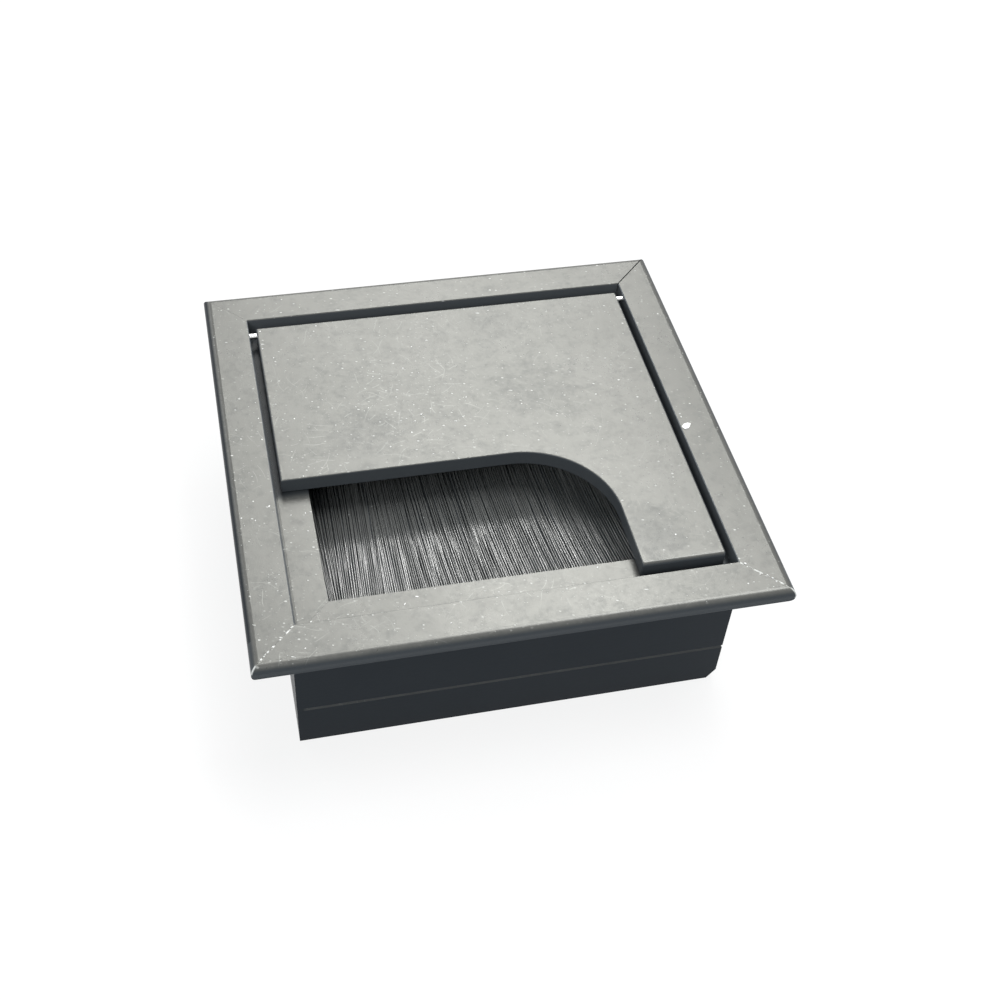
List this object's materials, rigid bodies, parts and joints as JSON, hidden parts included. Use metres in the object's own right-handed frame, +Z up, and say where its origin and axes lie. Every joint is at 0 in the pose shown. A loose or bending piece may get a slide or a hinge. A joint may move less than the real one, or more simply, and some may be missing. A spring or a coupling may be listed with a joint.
{
  "type": "square desk cable grommet",
  "caption": "Square desk cable grommet with a mitred metal frame, a hinged flap lid with a rounded cut, and a bristle strip that closes the cable opening.",
  "frame": {"origin": "centre of the square at the skirt's bottom edge", "axes": "+Z up through the flange and lid; the lid hinges at +Y and its cut opens towards -Y and -X"},
  "size_m": [0.094, 0.094, 0.0335],
  "materials": {
    "frame_metal": "satin black anodised",
    "lid_metal": "satin black anodised",
    "key_metal": "mill finish",
    "pin_steel": "bright drawn",
    "brush_steel": "zinc plated",
    "nylon": "glossy black filament"
  },
  "bodies": {
    "frame": {"front_rail": "frame_metal", "right_rail": "frame_metal", "rear_rail": "frame_metal", "left_rail": "frame_metal", "corner_key_front_left": "key_metal", "corner_key_front_right": "key_metal", "corner_key_rear_left": "key_metal", "corner_key_rear_right": "key_metal", "brush_backing": "brush_steel", "brush_core_wire": "brush_steel", "brush_bristles": "nylon"},
    "lid": {"lid": "lid_metal", "hinge_pin_left": "pin_steel", "hinge_pin_right": "pin_steel"}
  },
  "joints": [
    {"name": "lid_hinge", "type": "hinge", "parent": "frame", "child": "lid", "pos_m": [0, 0.0352, 0.03235], "axis": [-1, 0, 0], "range_deg": [0, 135]}
  ]
}
